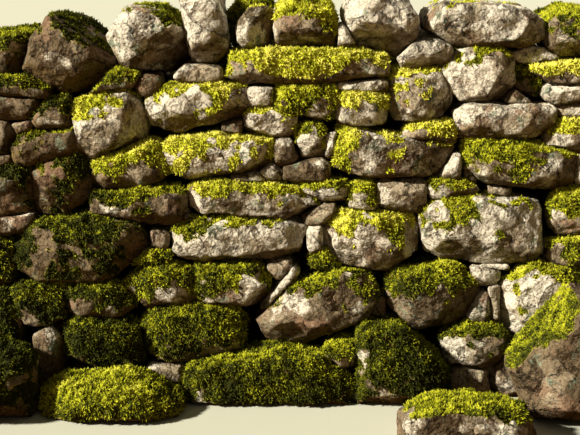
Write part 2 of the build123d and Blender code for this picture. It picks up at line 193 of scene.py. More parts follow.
CHIPS = (
    Chip(-424, 1066, (0.50, -0.62, -0.60), 0.25),
    Chip(-258, 1119, (0.0, -0.78, -0.62), 0.05),
    Chip(-97, 1108, (-0.70, -0.70, 0.25), 0.12),
    Chip(-97, 1108, (0.55, -0.80, -0.10), 0.22),
    Chip(404, 1030, (0.05, -0.72, -0.69), 0.20),
    Chip(404, 1030, (-0.20, -0.50, 0.85), 0.12),
    Chip(-552, 830, (0.80, -0.60, 0.00), 0.10),
    Chip(-270, 882, (0.35, -0.60, -0.70), 0.16),
    Chip(-270, 882, (-0.30, -0.90, 0.30), 0.05),
    Chip(580, 1113, (0.62, -0.75, 0.10), 0.10),
    Chip(580, 1113, (-0.25, -0.85, -0.45), 0.10),
    Chip(273, 1130, (-0.10, -0.70, -0.70), 0.10),
    Chip(388, 909, (0.60, -0.75, -0.25), 0.12),
    Chip(-657, 1032, (-0.30, -0.90, 0.25), 0.05),
    Chip(86, 277, (-0.15, -0.90, 0.35), 0.07),
    Chip(583, 516, (-0.10, -0.95, 0.30), 0.05),
    Chip(-845, 1036, (-0.10, 0.0, 1.0), 0.18),
    Chip(-657, 1032, (0.60, 0.0, 0.80), 0.30),
    Chip(-657, 1032, (-0.80, 0.0, 0.60), 0.12),
    Chip(-424, 1066, (0.70, 0.0, 0.72), 0.12),
    Chip(-424, 1066, (-0.75, 0.0, 0.66), 0.14),
    Chip(-97, 1108, (-0.75, 0.0, 0.66), 0.14),
    Chip(45, 1124, (-0.70, 0.0, 0.72), 0.16),
    Chip(45, 1124, (0.90, 0.0, 0.42), 0.12),
    Chip(273, 1130, (0.90, 0.0, 0.42), 0.12),
)


@dataclass(frozen=True)
class Grain:
    """How finely one kind of stone is modelled: its mesh, and the strands of its moss.

    rounding is how often the mesh is smoothed, shown_depth_m is how deep behind the wall's face it
    stays fine, and facets is how many corners are broken off.
    """

    voxel_m: float
    strands_per_m2: float
    rounding: int = 1
    shown_depth_m: float = 0.09
    facets: int = 0


@dataclass(frozen=True)
class Pattern:
    """One noise: its features to a metre, its finer layers, and how strong those are."""

    scale: float
    detail: float = 4.0
    rough: float = 0.55


@dataclass(frozen=True)
class Coat:
    """One colour laid over another where a pattern passes from starts to full.

    most is how much of what lies below it then covers, from 0 to 1.
    """

    colour: Colour
    starts: float
    full: float
    most: float = 1.0


class Nodes:
    """A short way to add and join shader nodes in one tree."""

    def __init__(self, tree: bpy.types.NodeTree) -> None:
        """Keeps the tree.

        Args:
            tree: The node tree that the nodes go into.
        """
        self.tree = tree

    def add(self, kind: str, **values: object) -> bpy.types.Node:
        """Adds a node and sets its properties or the inputs that bear those names.

        Args:
            kind: The node's type, without the word ShaderNode.
            **values: Properties, or inputs by name with underscores for spaces.

        Returns:
            The new node.
        """
        node = self.tree.nodes.new("ShaderNode" + kind)
        for name, value in values.items():
            if hasattr(node, name):
                setattr(node, name, value)
            else:
                self.feed(node.inputs[name.replace("_", " ")], value)
        return node

    def feed(self, socket: Socket, value: object) -> None:
        """Links a socket to the socket, or sets its value.

        Args:
            socket: The input.
            value: An output socket, or a number or colour.
        """
        if isinstance(value, Socket):
            self.tree.links.new(value, socket)
        else:
            socket.default_value = value

    def math(self, how: str, first: object, second: object = 0.0, clamp: bool = False) -> Socket:
        """Adds a Math node.

        Args:
            how: The operation.
            first: The first value or socket.
            second: The second value or socket.
            clamp: Whether the result is held between 0 and 1.

        Returns:
            The result.
        """
        node = self.add("Math", operation=how, use_clamp=clamp)
        self.feed(node.inputs[0], first)
        self.feed(node.inputs[1], second)
        return node.outputs[0]

    def step(
        self, value: object, low: float, high: float, least: float = 0.0, most: float = 1.0
    ) -> Socket:
        """Maps a value smoothly from one range to another.

        Args:
            value: The value.
            low: Where the step starts.
            high: Where it ends.
            least: The result at its start.
            most: The result at its end.

        Returns:
            The result.
        """
        node = self.add("MapRange", interpolation_type="SMOOTHSTEP")
        for socket, number in zip(node.inputs, (value, low, high, least, most)):
            self.feed(socket, number)
        return node.outputs[0]

    def mix(self, share: object, first: object, second: object, how: str = "MIX") -> Socket:
        """Mixes two colours.

        Args:
            share: How much of the second, from 0 to 1.
            first: The first colour or socket.
            second: The second colour or socket.
            how: The blend type.

        Returns:
            The mixed colour.
        """
        node = self.add("Mix", data_type="RGBA", blend_type=how, clamp_factor=True)
        self.feed(node.inputs[0], share)
        for socket, value in ((node.inputs[6], first), (node.inputs[7], second)):
            self.feed(socket, (*value, 1.0) if isinstance(value, tuple) and len(value) == 3 else value)
        return node.outputs[2]

    def coat(self, under: object, pattern: Socket, over: Coat) -> Socket:
        """Lays a coat of colour.

        Args:
            under: The colour below it.
            pattern: What says where it lies.
            over: The coat.

        Returns:
            The colour of both.
        """
        return self.mix(self.step(pattern, over.starts, over.full, 0.0, over.most), under, over.colour)

    def noise(self, place: Socket, kind: Pattern) -> Socket:
        """Adds a noise pattern.

        Args:
            place: The coordinates.
            kind: The pattern.

        Returns:
            The noise, from about 0.2 to 0.8.
        """
        values = {"Scale": kind.scale, "Detail": kind.detail, "Roughness": kind.rough}
        return self.add("TexNoise", Vector=place, **values).outputs["Fac"]

    def total(self, start: object, *parts: tuple[Socket, float]) -> Socket:
        """Adds values, each times its weight, to a first one.

        Args:
            start: The first value or socket.
            *parts: Each further socket with its weight.

        Returns:
            The sum.
        """
        for value, weight in parts:
            start = self.math("ADD", start, self.math("MULTIPLY", value, weight))
        return start

    def vector(self, how: str, *values: object) -> bpy.types.Node:
        """Adds a Vector Math node.

        Args:
            how: The operation.
            *values: Its vectors or sockets, in order.

        Returns:
            The node.
        """
        node = self.add("VectorMath", operation=how)
        for socket, value in zip(node.inputs, values):
            self.feed(socket, value)
        return node

    def attribute(self, name: str, output: str = "Fac") -> Socket:
        """Reads what the mesh carries at each point.

        Args:
            name: The attribute's name.
            output: Fac for a number, or Vector.

        Returns:
            The value.
        """
        return self.add("Attribute", attribute_name=name).outputs[output]

    def bump(self, height: Socket, strength: float, distance: float) -> Socket:
        """Adds a Bump node.

        Args:
            height: The height's pattern.
            strength: How strongly it shows, from 0 to 1.
            distance: The height of a step of 1, in metres.

        Returns:
            The bent normal.
        """
        return self.add("Bump", Strength=strength, Distance=distance, Height=height).outputs[0]

    def facets(
        self, place: Socket, scale: float, bend: float = 0.9, finer: float = 1.3
    ) -> tuple[Socket, Socket, Socket]:
        """Adds broken facets: areas that each slope a way of their own.

        Args:
            place: The coordinates.
            scale: How many facets to a metre.
            bend: How far the seams are bent, as a share of a facet.
            finer: How many bends there are to a facet.

        Returns:
            The height in metres, a number for each facet from -0.5 to 0.5, and how far the
            nearest seam is, as a share of a facet.
        """
        warp = self.add("TexNoise", Scale=scale * finer, Detail=3.0, Vector=place).outputs["Color"]
        bent = self.vector("MULTIPLY_ADD", warp, (bend / scale,) * 3, place).outputs[0]
        cells = self.add("TexVoronoi", Scale=scale, Vector=bent)
        slope = self.vector("SUBTRACT", cells.outputs["Color"], (0.5, 0.5, 0.5)).outputs[0]
        offset = self.vector("SUBTRACT", bent, cells.outputs["Position"]).outputs[0]
        height = self.vector("DOT_PRODUCT", offset, slope).outputs["Value"]
        number = self.add("SeparateXYZ", Vector=slope).outputs["X"]
        seams = self.add("TexVoronoi", feature="DISTANCE_TO_EDGE", Scale=scale, Vector=bent)
        return height, number, seams.outputs["Distance"]


def open_material(name: str) -> tuple[Nodes, bpy.types.Node, bpy.types.Node]:
    """Starts a material with one rough surface.

    Args:
        name: The material's name.

    Returns:
        Its nodes, its Principled node and its Texture Coordinate node.
    """
    material = bpy.data.materials.new(name)
    material.use_nodes = True
    nodes = Nodes(material.node_tree)
    surface = material.node_tree.nodes["Principled BSDF"]
    surface.inputs["Roughness"].default_value = ROUGHNESS
    surface.inputs["Specular IOR Level"].default_value = SPECULAR
    return nodes, surface, nodes.add("TexCoord")


@dataclass(frozen=True)
class MossFinish:
    """The moss: its coats from shaded base to sunlit tips, and its patterns."""

    deep: Colour = (0.020, 0.024, 0.001)
    mid: Coat = Coat((0.074, 0.090, 0.002), 0.72, 1.08)
    bright: Coat = Coat((0.50, 0.53, 0.018), 0.98, 1.36)
    yellow: Coat = Coat((0.90, 0.865, 0.15), 1.34, 1.72)
    dead: Coat = Coat((0.20, 0.12, 0.03), 0.6, 0.72, 0.5)
    drifts: Pattern = Pattern(6.0, 2.0)
    clumps: Pattern = Pattern(19.0, 3.0)
    dead_spots: Pattern = Pattern(46.0)
    tufts: Pattern = Pattern(74.0, 2.0, 0.6)
    fringe: Pattern = Pattern(95.0, 3.0, 0.7)
    strands: Pattern = Pattern(210.0, 2.0, 0.7)
    relief_m: float = 0.005


@dataclass(frozen=True)
class StoneFinish:
    """The bare stone, the crusts on it and the painted shade: their coats, patterns, facets and cracks.

    breaks, chips and pits are features to a metre, cracks are a width, as a share of a facet, and
    how light their lines are, and shift moves one set of patterns away from the other.
    """

    mid: Colour = (0.168, 0.125, 0.073)
    pale: Coat = Coat((0.42, 0.355, 0.25), 0.36, 0.66)
    pink: Coat = Coat((0.26, 0.155, 0.095), 0.52, 0.66, 0.75)
    stain: Coat = Coat((0.034, 0.028, 0.018), 0.40, 0.30, 0.8)
    crust: Coat = Coat((0.76, 0.715, 0.60), 0.545, 0.60, 0.8)
    leafy: Coat = Coat((0.215, 0.26, 0.185), 0.59, 0.62, 0.85)
    # Brown painted shade under the stones, on their right flanks and at the wall's left end, laid with
    # some real stain.
    shade_and_stain: Coat = Coat((0.112, 0.071, 0.022), 0.42, 0.86, 0.92)
    film: Coat = Coat((0.36, 0.31, 0.05), 0.34, 0.62, 0.6)
    patches: Pattern = Pattern(7.0, 4.0, 0.6)
    crusts: Pattern = Pattern(8.5, 6.0, 0.56)
    pink_areas: Pattern = Pattern(9.0, 4.0, 0.6)
    leafy_rounds: Pattern = Pattern(15.0, 7.0, 0.70)
    mottling: Pattern = Pattern(24.0, 5.0, 0.65)
    blotches: Pattern = Pattern(52.0, 5.0, 0.7)
    grain: Pattern = Pattern(150.0, 4.0, 0.75)
    breaks: float = 12.0
    chips: float = 33.0
    pits: float = 85.0
    wide_cracks: Span = (0.055, 0.25)
    fine_cracks: Span = (0.07, 0.55)
    shift: Point = (3.1, 1.7, 5.3)
    relief_m: float = 0.011


@dataclass(frozen=True)
class RubbleFinish:
    """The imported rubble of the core, with stones to a metre."""

    earth: Colour = (0.035, 0.026, 0.017)
    chips: Coat = Coat((0.13, 0.10, 0.07), 0.35, 0.65)
    grit: Pattern = Pattern(60.0, 5.0, 0.7)
    stones: float = 22.0
    relief_m: float = 0.02


@dataclass
class Finishes:
    """The materials of the wall and the node groups that they share."""

    moss_look: MossFinish = MossFinish()
    stone_look: StoneFinish = StoneFinish()
    rubble_look: RubbleFinish = RubbleFinish()

    def __post_init__(self) -> None:
        """Builds the groups and the materials."""
        self.moss_group = self.make_moss_group()
        self.stone_group = self.make_stone_group()
        self.stone = self.make_stone()
        self.moss = self.make_moss()
        self.rubble = self.make_rubble()

    def open_group(
        self, name: str, inputs: dict[str, str], outputs: dict[str, str]
    ) -> tuple[Nodes, bpy.types.Node, bpy.types.Node]:
        """Starts a node group.

        Args:
            name: The group's name.
            inputs: Socket types by name.
            outputs: Socket types by name.

        Returns:
            The group's nodes, its input node and its output node.
        """
        tree = bpy.data.node_groups.new(name, "ShaderNodeTree")
        for sockets, way in ((inputs, "INPUT"), (outputs, "OUTPUT")):
            for label, kind in sockets.items():
                tree.interface.new_socket(label, in_out=way, socket_type=kind)
        start = tree.nodes.new("NodeGroupInput")
        end = tree.nodes.new("NodeGroupOutput")
        return Nodes(tree), start, end

    def make_moss_group(self) -> bpy.types.NodeTree:
        """Builds the moss: its colour from shaded base to sunny tip, and its fine height.

        Returns:
            The group.
        """
        nodes, start, end = self.open_group(
            "moss growth",
            {"Place": "NodeSocketVector", "Tip": "NodeSocketFloat", "Sunny": "NodeSocketFloat"},
            {"Colour": "NodeSocketColor", "Height": "NodeSocketFloat"},
        )
        place, look = start.outputs["Place"], self.moss_look
        patterns = (look.drifts, look.clumps, look.tufts, look.strands, look.dead_spots)
        drifts, clumps, tufts, strands, dead = (nodes.noise(place, kind) for kind in patterns)
        lit = nodes.total(-0.35, (strands, 0.4), (clumps, 0.8), (tufts, 0.8), (drifts, 0.7))
        lit = nodes.total(lit, (start.outputs["Tip"], 0.42), (start.outputs["Sunny"], 0.45))
        colour = nodes.coat(look.deep, lit, look.mid)
        for pattern, coat in ((lit, look.bright), (lit, look.yellow), (dead, look.dead)):
            colour = nodes.coat(colour, pattern, coat)
        nodes.feed(end.inputs["Colour"], colour)
        nodes.feed(end.inputs["Height"], nodes.total(strands, (clumps, 0.6)))
        return nodes.tree

    def make_stone_group(self) -> bpy.types.NodeTree:
        """Builds the bare stone: grain, stains, painted brown shade, bare pinkish areas and crusts of
        lichen.

        Returns:
            The group.
        """
        nodes, start, end = self.open_group(
            "weathered fieldstone",
            {
                "Place": "NodeSocketVector",
                "Tone": "NodeSocketFloat",
                "Lichen": "NodeSocketFloat",
                "Stain": "NodeSocketFloat",
                "Edge": "NodeSocketFloat",
            },
            {"Colour": "NodeSocketColor", "Height": "NodeSocketFloat"},
        )
        place, look = start.outputs["Place"], self.stone_look
        coarse, hue, seam = nodes.facets(place, look.breaks)
        fine, _, fine_seam = nodes.facets(place, look.chips)
        shifted = nodes.add("Mapping", Location=look.shift, Vector=place).outputs[0]
        broad = nodes.total(nodes.noise(place, look.patches), (hue, 0.12))
        medium, grain = nodes.noise(place, look.mottling), nodes.noise(place, look.grain)
        # The tone that lays the pale coat holds painted light and shade as well as the stone's own tone.
        colour = nodes.coat(look.mid, nodes.math("ADD", broad, start.outputs["Tone"]), look.pale)
        colour = nodes.coat(colour, nodes.noise(shifted, look.pink_areas), look.pink)
        colour = nodes.coat(colour, medium, look.stain)
        # The lichen value is raised where a stone is painted paler and lowered in painted shade.
        crust = nodes.math("ADD", nodes.noise(shifted, look.crusts), start.outputs["Lichen"])
        crust = nodes.step(nodes.total(crust, (grain, 0.12)), look.crust.starts, look.crust.full)
        colour = nodes.mix(nodes.math("MULTIPLY", crust, look.crust.most), colour, look.crust.colour)
        colour = nodes.coat(colour, nodes.noise(shifted, look.leafy_rounds), look.leafy)
        # Paints brown shade where the stain mask is high: under the stones, on their right flanks and at
        # the wall's left end, with real stain mottling.
        colour = nodes.coat(colour, nodes.total(start.outputs["Stain"], (medium, 0.55)), look.shade_and_stain)
        colour = nodes.coat(colour, nodes.total(start.outputs["Edge"], (medium, 0.5)), look.film)
        blotch = nodes.step(nodes.noise(shifted, look.blotches), 0.44, 0.36)
        blotch = nodes.math("MULTIPLY", blotch, nodes.step(broad, 0.62, 0.44))
        colour = nodes.mix(nodes.math("MULTIPLY", blotch, 0.85), colour, look.stain.colour)
        seams = ((seam, *look.wide_cracks), (fine_seam, *look.fine_cracks))
        shade = self.crack_shade(nodes, grain, medium, seams)
        nodes.feed(end.inputs["Colour"], nodes.mix(1.0, colour, shade, "MULTIPLY"))
        pits = nodes.add("TexVoronoi", Scale=look.pits, Vector=place).outputs["Distance"]
        height = nodes.total(nodes.math("MULTIPLY", grain, 0.5), (medium, 1.2), (pits, 0.35))
        height = nodes.total(height, (crust, 0.12), (coarse, 105.0), (fine, 95.0))
        nodes.feed(end.inputs["Height"], height)
        return nodes.tree

    def crack_shade(
        self, nodes: Nodes, grain: Socket, medium: Socket, seams: tuple[tuple[Socket, float, float], ...]
    ) -> Socket:
        """Builds the dark flecks of the grain and the dark lines of the cracks.

        Args:
            nodes: The tree's nodes.
            grain: The grain's pattern.
            medium: The pattern that says where the cracks show.
            seams: For each set of cracks the distance from them, their width and how light they are.

        Returns:
            The grey that the stone's colour is multiplied by.
        """
        cracked = nodes.step(medium, 0.44, 0.54)
        whole = nodes.math("SUBTRACT", 1.0, cracked, True)
        shade = nodes.step(grain, 0.32, 0.62, 0.55, 1.2)
        for gap, width, lightness in seams:
            line = nodes.math("ADD", nodes.step(gap, 0.0, width, lightness, 1.0), whole, True)
            shade = nodes.math("MULTIPLY", shade, line)
        grey = nodes.add("CombineColor")
        for socket in grey.inputs:
            nodes.feed(socket, shade)
        return grey.outputs[0]

    def place_of_stone(self, nodes: Nodes, coordinates: bpy.types.Node) -> Socket:
        """Shifts the patterns by an amount of each stone's own, so that no two are cut from one.

        Args:
            nodes: The material's nodes.
            coordinates: The Texture Coordinate node.

        Returns:
            The shifted coordinates.
        """
        own = nodes.attribute("shift", "Vector")
        return nodes.vector("ADD", coordinates.outputs["Object"], own).outputs[0]

    def make_stone(self) -> bpy.types.Material:
        """Builds the fieldstone with the moss that lies on it.

        Returns:
            The material.
        """
        nodes, surface, coordinates = open_material("mossy fieldstone")
        place = self.place_of_stone(nodes, coordinates)
        covered = nodes.attribute("moss")
        stone = nodes.add("Group", node_tree=self.stone_group, Place=place, Edge=covered)
        # The stain attribute carries painted shade as well as stain, and tone and lichen carry painted
        # light and shade.
        for name in ("Tone", "Lichen", "Stain"):
            nodes.feed(stone.inputs[name], nodes.attribute(name.lower()))
        moss = nodes.add("Group", node_tree=self.moss_group, Place=place, Sunny=nodes.attribute("sunny"))
        fringe = nodes.total(covered, (nodes.noise(place, self.moss_look.fringe), 0.6))
        share = nodes.step(fringe, 0.72, 0.86)
        colour = nodes.mix(share, stone.outputs["Colour"], moss.outputs["Colour"])
        nodes.feed(surface.inputs["Base Color"], colour)
        rough = nodes.bump(stone.outputs["Height"], 0.9, self.stone_look.relief_m)
        soft = nodes.bump(moss.outputs["Height"], 0.9, self.moss_look.relief_m)
        blend = nodes.add("Mix", data_type="VECTOR", factor_mode="UNIFORM")
        for index, value in ((0, share), (4, rough), (5, soft)):
            nodes.feed(blend.inputs[index], value)
        nodes.feed(surface.inputs["Normal"], blend.outputs[1])
        return bpy.data.materials["mossy fieldstone"]

    def make_moss(self) -> bpy.types.Material:
        """Builds the strands of moss, which brighten towards their tips.

        Returns:
            The material.
        """
        nodes, surface, coordinates = open_material("moss strands")
        moss = nodes.add("Group", node_tree=self.moss_group, Place=self.place_of_stone(nodes, coordinates))
        for name in ("Tip", "Sunny"):
            nodes.feed(moss.inputs[name], nodes.attribute(name.lower()))
        nodes.feed(surface.inputs["Base Color"], moss.outputs["Colour"])
        return bpy.data.materials["moss strands"]

    def make_rubble(self) -> bpy.types.Material:
        """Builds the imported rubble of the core.

        Returns:
            The material.
        """
        nodes, surface, coordinates = open_material("packed rubble")
        place, look = coordinates.outputs["Object"], self.rubble_look
        stones = nodes.add("TexVoronoi", Scale=look.stones, Vector=place).outputs["Distance"]
        colour = nodes.coat(look.earth, nodes.noise(place, look.grit), look.chips)
        nodes.feed(surface.inputs["Base Color"], colour)
        nodes.feed(surface.inputs["Normal"], nodes.bump(stones, 1.0, look.relief_m))
        return bpy.data.materials["packed rubble"]


@dataclass
class Studio:
    """The floor, the light and the camera."""

    camera_at: Point = (0.0, -3.773, 1.431)
    pitch_down: float = 14.0
    lens: float = 75.0
    sensor_width: float = 36.0
    floor_size: float = 60.0
    floor_colour: Colour = (0.58, 0.605, 0.52)
    bounce_colour: Colour = (0.19, 0.112, 0.040)
    sky_colour: Colour = (0.90, 0.85, 0.60)
    sun_colour: Colour = (1.0, 0.90, 0.73)
    sun_strength: float = 7.7
    sun_spread: float = 4.0
    sun_way: Direction = (0.90, 0.38, -0.60)
    back_strength: float = 1.5
    back_spread: float = 20.0
    back_way: Direction = (-0.62, -0.70, -0.42)
    fill_colour: Colour = (1.0, 0.84, 0.60)
    fill_strength: float = 0.09

    def build(self) -> None:
        """Sets the stage."""
        self.add_floor()
        self.add_light()
        self.add_camera()
        bpy.context.scene.view_settings.view_transform = "Standard"

    def add_floor(self) -> None:
        """Lays a plain pale floor."""
        bpy.ops.mesh.primitive_plane_add(size=self.floor_size)
        floor = bpy.context.object
        floor.name = "studio_floor"
        nodes, surface, _ = open_material("pale floor")
        seen = nodes.add("LightPath").outputs["Is Camera Ray"]
        nodes.feed(surface.inputs["Base Color"], nodes.mix(seen, self.bounce_colour, self.floor_colour))
        floor.data.materials.append(bpy.data.materials["pale floor"])

    def add_light(self) -> None:
        """Hangs a warm key lamp on the left and a weak one behind, and fills from a pale sky."""
        self.add_lamp("key_lamp", self.sun_strength, self.sun_way, self.sun_spread)
        self.add_lamp("back_lamp", self.back_strength, self.back_way, self.back_spread)
        world = bpy.data.worlds.new("pale sky")
        bpy.context.scene.world = world
        world.use_nodes = True
        nodes = Nodes(world.node_tree)
        shown = world.node_tree.nodes["Background"]
        shown.inputs["Color"].default_value = (*self.sky_colour, 1.0)
        shown.inputs["Strength"].default_value = 1.0
        fill = nodes.add("Background", Color=(*self.fill_colour, 1.0), Strength=self.fill_strength)
        choice = nodes.add("MixShader", Fac=nodes.add("LightPath").outputs["Is Camera Ray"])
        nodes.feed(choice.inputs[1], fill.outputs[0])
        nodes.feed(choice.inputs[2], shown.outputs[0])
        nodes.feed(world.node_tree.nodes["World Output"].inputs["Surface"], choice.outputs[0])

    def add_lamp(self, name: str, strength: float, way: Direction, spread: float) -> None:
        """Hangs one distant lamp.

        Args:
            name: Its name.
            strength: Its strength.
            way: The direction that its light travels.
            spread: How wide it looks, in degrees.
        """
        lamp = bpy.data.lights.new(name, "SUN")
        lamp.energy = strength
        lamp.color = self.sun_colour
        lamp.angle = math.radians(spread)
        hung = bpy.data.objects.new(name, lamp)
        hung.rotation_euler = Vector(way).to_track_quat("-Z", "Y").to_euler()
        bpy.context.scene.collection.objects.link(hung)

    def add_camera(self) -> None:
        """Places the camera square to the wall, a little above it and looking slightly down."""
        camera = bpy.data.cameras.new("camera")
        camera.lens = self.lens
        camera.sensor_width = self.sensor_width
        view = bpy.data.objects.new("camera", camera)
        view.location = self.camera_at
        view.rotation_euler = (math.radians(90.0 - self.pitch_down), 0.0, 0.0)
        bpy.context.scene.collection.objects.link(view)
        bpy.context.scene.camera = view


@dataclass(frozen=True)
class Relief:
    """One displacement: its texture, how far it pushes, and the value that pushes nothing."""

    kind: str
    size_m: float
    layers: int
    strength_m: float
    middle: float


RELIEFS = {
    "swell": Relief("CLOUDS", 0.085, 1, 0.012, 0.5),
    "break": Relief("VORONOI", 0.10, 0, 0.014, 0.42),
    "knobs": Relief("CLOUDS", 0.024, 3, 0.012, 0.55),
    "cushion": Relief("CLOUDS", 0.017, 2, 0.023, 0.6),
}


@dataclass(frozen=True)
class Weather:
    """How moss, stain, painted shade, tone and painted sunlight follow a stone's surfaces and its place on
    the wall.

    A value named after a place is what a surface there adds, and one that ends in less is taken
    away. Places are in metres, and broad_size and fine_size are features to a metre.
    hidden_growth is the least and most of more, side, sunny and pale at the back and the heads.
    """

    broad_size: float = 11.0
    fine_size: float = 34.0
    fine_shift: Point = (9.0, 4.0, 2.0)
    moss_up: float = 0.5
    moss_broad: float = 0.95
    moss_fine: float = 0.75
    moss_under_less: float = 0.9
    under_from: float = -0.35
    moss_more: float = 0.08
    moss_fades_over: float = 0.3
    least_cushion: float = 0.05
    # The stain mask paints shade under the stones, on their right flanks and over the wall's left end; its
    # broad part is real stain, and it is darker towards the bottom of each stone.
    painted_shade_under: float = 0.62
    painted_shade_right: float = 0.42
    stain_broad: float = 0.5
    lighter_at_top: float = 0.25
    shade_and_stain_less: float = 0.12
    painted_shade_left: float = 0.35
    painted_shade_left_of: float = -0.45
    # Painted shade over the wall's left end darkens the tone, thins the pale crust and dims the moss.
    shaded_left_of: float = -0.40
    left_over: float = 0.4
    most_shade: float = 0.5
    tone_varies: Span = (-0.06, 0.06)
    tone_shade_less: float = 0.2
    crust_varies: Span = (-0.05, 0.04)
    crust_pale: float = 0.7
    crust_shade_less: float = 0.15
    # Painted sunlight on the moss, brighter higher up and on faces that look up.
    sunny_high: float = 0.45
    sunny_up: float = 0.25
    sunny_less: float = 0.42
    pattern_shift: float = 9.0
    hidden_growth: tuple[Span, ...] = ((-0.35, 0.55), (-0.5, 0.5), (-0.2, 0.2), (-0.12, 0.12))


@dataclass(frozen=True)
class Strands:
    """How the strands of moss grow, with lengths in metres and their bearing as parts of 1."""

    length: Span = (0.005, 0.014)
    width: Span = (0.0020, 0.0048)
    sunk: float = 0.002
    outward: float = 0.75
    lean_varies: float = 0.42
    hang: float = -0.45
    rise: float = 0.35
    hangs_under: float = 0.35
    ridge_varies: float = 0.35
    ridge_outward: float = 1.1
    front_until: float = 0.05
    third_turn: float = 2.094
    shown_depth: float = 0.07
    shown_above: float = 0.97
    least_upward: float = -0.45
    cover_gain: float = 1.5
    cover_less: float = 0.2
    fewest: int = 3


@dataclass(frozen=True)
class Survey:
    """What is measured at each point of one stone.

    across runs from -1 to 1 over the stone's box, and broad and fine are patterns of noise.
    """

    points: np.ndarray
    low: np.ndarray
    high: np.ndarray
    across: np.ndarray
    normals: np.ndarray
    broad: np.ndarray
    fine: np.ndarray


@dataclass
class Mason:
    """Turns the plain stones of one node into rough, mossy ones.

    Lengths are in metres, apart from facet_depth, which is a share of a stone's lesser width. The
    mesh is thinned where a stone lies inside the wall: below the copes, between the wall heads
    and deeper than its grain shows.
    """

    finishes: Finishes
    weather: Weather = Weather()
    strands: Strands = Strands()
    middle_plane: float = 0.02
    facet_outward: Span = (0.7, 1.9)
    facet_depth: Span = (0.04, 0.10)
    fully_rough: float = 0.12
    softness: float = 0.5
    cope_level: float = 0.9
    head_start: float = 0.93
    fewest_hidden: int = 40
    hidden_kept: float = 0.08

    def __post_init__(self) -> None:
        """Makes the textures that roughen the stones."""
        self.textures = {name: self.make_texture(name, relief) for name, relief in RELIEFS.items()}

    @staticmethod
    def make_texture(name: str, relief: Relief) -> bpy.types.Texture:
        """Makes the procedural texture of one displacement.

        Args:
            name: Its name.
            relief: What it is like.

        Returns:
            The texture.
        """
        texture = bpy.data.textures.new(name, relief.kind)
        texture.noise_scale = relief.size_m
        if relief.kind == "CLOUDS":
            texture.noise_depth = relief.layers
        return texture

    def take_stones(self, node: str) -> list[bpy.types.Object]:
        """Copies a node and parts the copy into its stones.

        Args:
            node: The CAD node's name.

        Returns:
            One object for each stone.
        """
        copy = bpy.data.objects.new(node + "_rough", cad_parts[node].data.copy())
        bpy.context.scene.collection.objects.link(copy)
        self.select([copy])
        bpy.ops.object.mode_set(mode="EDIT")
        bpy.ops.mesh.select_all(action="SELECT")
        bpy.ops.mesh.remove_doubles(threshold=MERGE_M)
        bpy.ops.mesh.separate(type="LOOSE")
        bpy.ops.object.mode_set(mode="OBJECT")
        stones = bpy.context.selected_objects
        return sorted(stones, key=lambda stone: tuple(round(v, 4) for v in self.box(stone)[0]))

    @staticmethod
    def select(objects: list[bpy.types.Object]) -> None:
        """Selects objects and nothing else, with the first one active.

        Args:
            objects: The objects.
        """
        bpy.ops.object.select_all(action="DESELECT")
        for thing in objects:
            thing.select_set(True)
        bpy.context.view_layer.objects.active = objects[0]

    @staticmethod
    def points(stone: bpy.types.Object) -> np.ndarray:
        """Reads a mesh's points.

        Args:
            stone: The object.

        Returns:
            Its points, one a row.
        """
        found = np.empty(len(stone.data.vertices) * 3, np.float32)
        stone.data.vertices.foreach_get("co", found)
        return found.reshape(-1, 3)

    def box(self, stone: bpy.types.Object) -> tuple[np.ndarray, np.ndarray]:
        """Finds a stone's lowest and highest corners.

        Args:
            stone: The object.

        Returns:
            The two corners.
        """
        found = self.points(stone)
        return found.min(axis=0), found.max(axis=0)

    @staticmethod
    def place_mm(low: np.ndarray, high: np.ndarray) -> tuple[float, float]:
        """Finds the place on the face by which growths and chips name a stone.

        Args:
            low: The stone's lowest corner.
            high: The stone's highest corner.

        Returns:
            How far its middle is to the right and up, in millimetres.
        """
        middle = 1000 * (low + high) / 2
        return middle[0], middle[2]

    @staticmethod
    def depth_inside(points: np.ndarray) -> np.ndarray:
        """Finds how deep points lie behind the nearer face of the wall.

        Args:
            points: The points, one a row.

        Returns:
            Their depths.
        """
        return HALF_BASE_M - BATTER * points[:, 2] - np.abs(points[:, 1])

    def finish_modifiers(self, stone: bpy.types.Object) -> None:
        """Applies all of a stone's modifiers.

        Args:
            stone: The object.
        """
        self.select([stone])
        for modifier in list(stone.modifiers):
            bpy.ops.object.modifier_apply(modifier=modifier.name)

    def push(self, stone: bpy.types.Object, name: str, share: float = 1.0, group: str = "") -> None:
        """Adds a displacement.

        Args:
            stone: The object.
            name: The relief's name.
            share: How much of the relief's strength it has.
            group: The vertex group that limits it.
        """
        modifier = stone.modifiers.new(name, "DISPLACE")
        modifier.texture = self.textures[name]
        modifier.texture_coords = "GLOBAL"
        modifier.strength = RELIEFS[name].strength_m * share
        modifier.mid_level = RELIEFS[name].middle
        modifier.vertex_group = group

    def break_corners(
        self, stone: bpy.types.Object, size: float, facets: int, seed: random.Random
    ) -> None:
        """Breaks flat facets off the face that a small stone shows.

        Args:
            stone: The object.
            size: Its lesser width.
            facets: How many facets.
            seed: The stone's own numbers.
        """
        outward = -1.0 if self.points(stone)[:, 1].mean() < self.middle_plane else 1.0
        self.select([stone])
        for _ in range(facets):
            way = Vector((seed.gauss(0, 1), outward * seed.uniform(*self.facet_outward), seed.gauss(0, 1)))
            self.cut(stone, way, seed.uniform(*self.facet_depth) * size)

    def cut(self, stone: bpy.types.Object, way: Vector, depth: float) -> None:
        """Cuts one flat face.

        Args:
            stone: The object, selected.
            way: Where the face looks.
            depth: How far it lies behind the stone's furthest point.
        """
        normal = way.normalized()
        reach = float((self.points(stone) @ np.array(normal)).max())
        bpy.ops.object.mode_set(mode="EDIT")
        bpy.ops.mesh.select_all(action="SELECT")
        bpy.ops.mesh.bisect(
            plane_co=normal * (reach - depth), plane_no=normal, use_fill=True, clear_outer=True
        )
        bpy.ops.object.mode_set(mode="OBJECT")

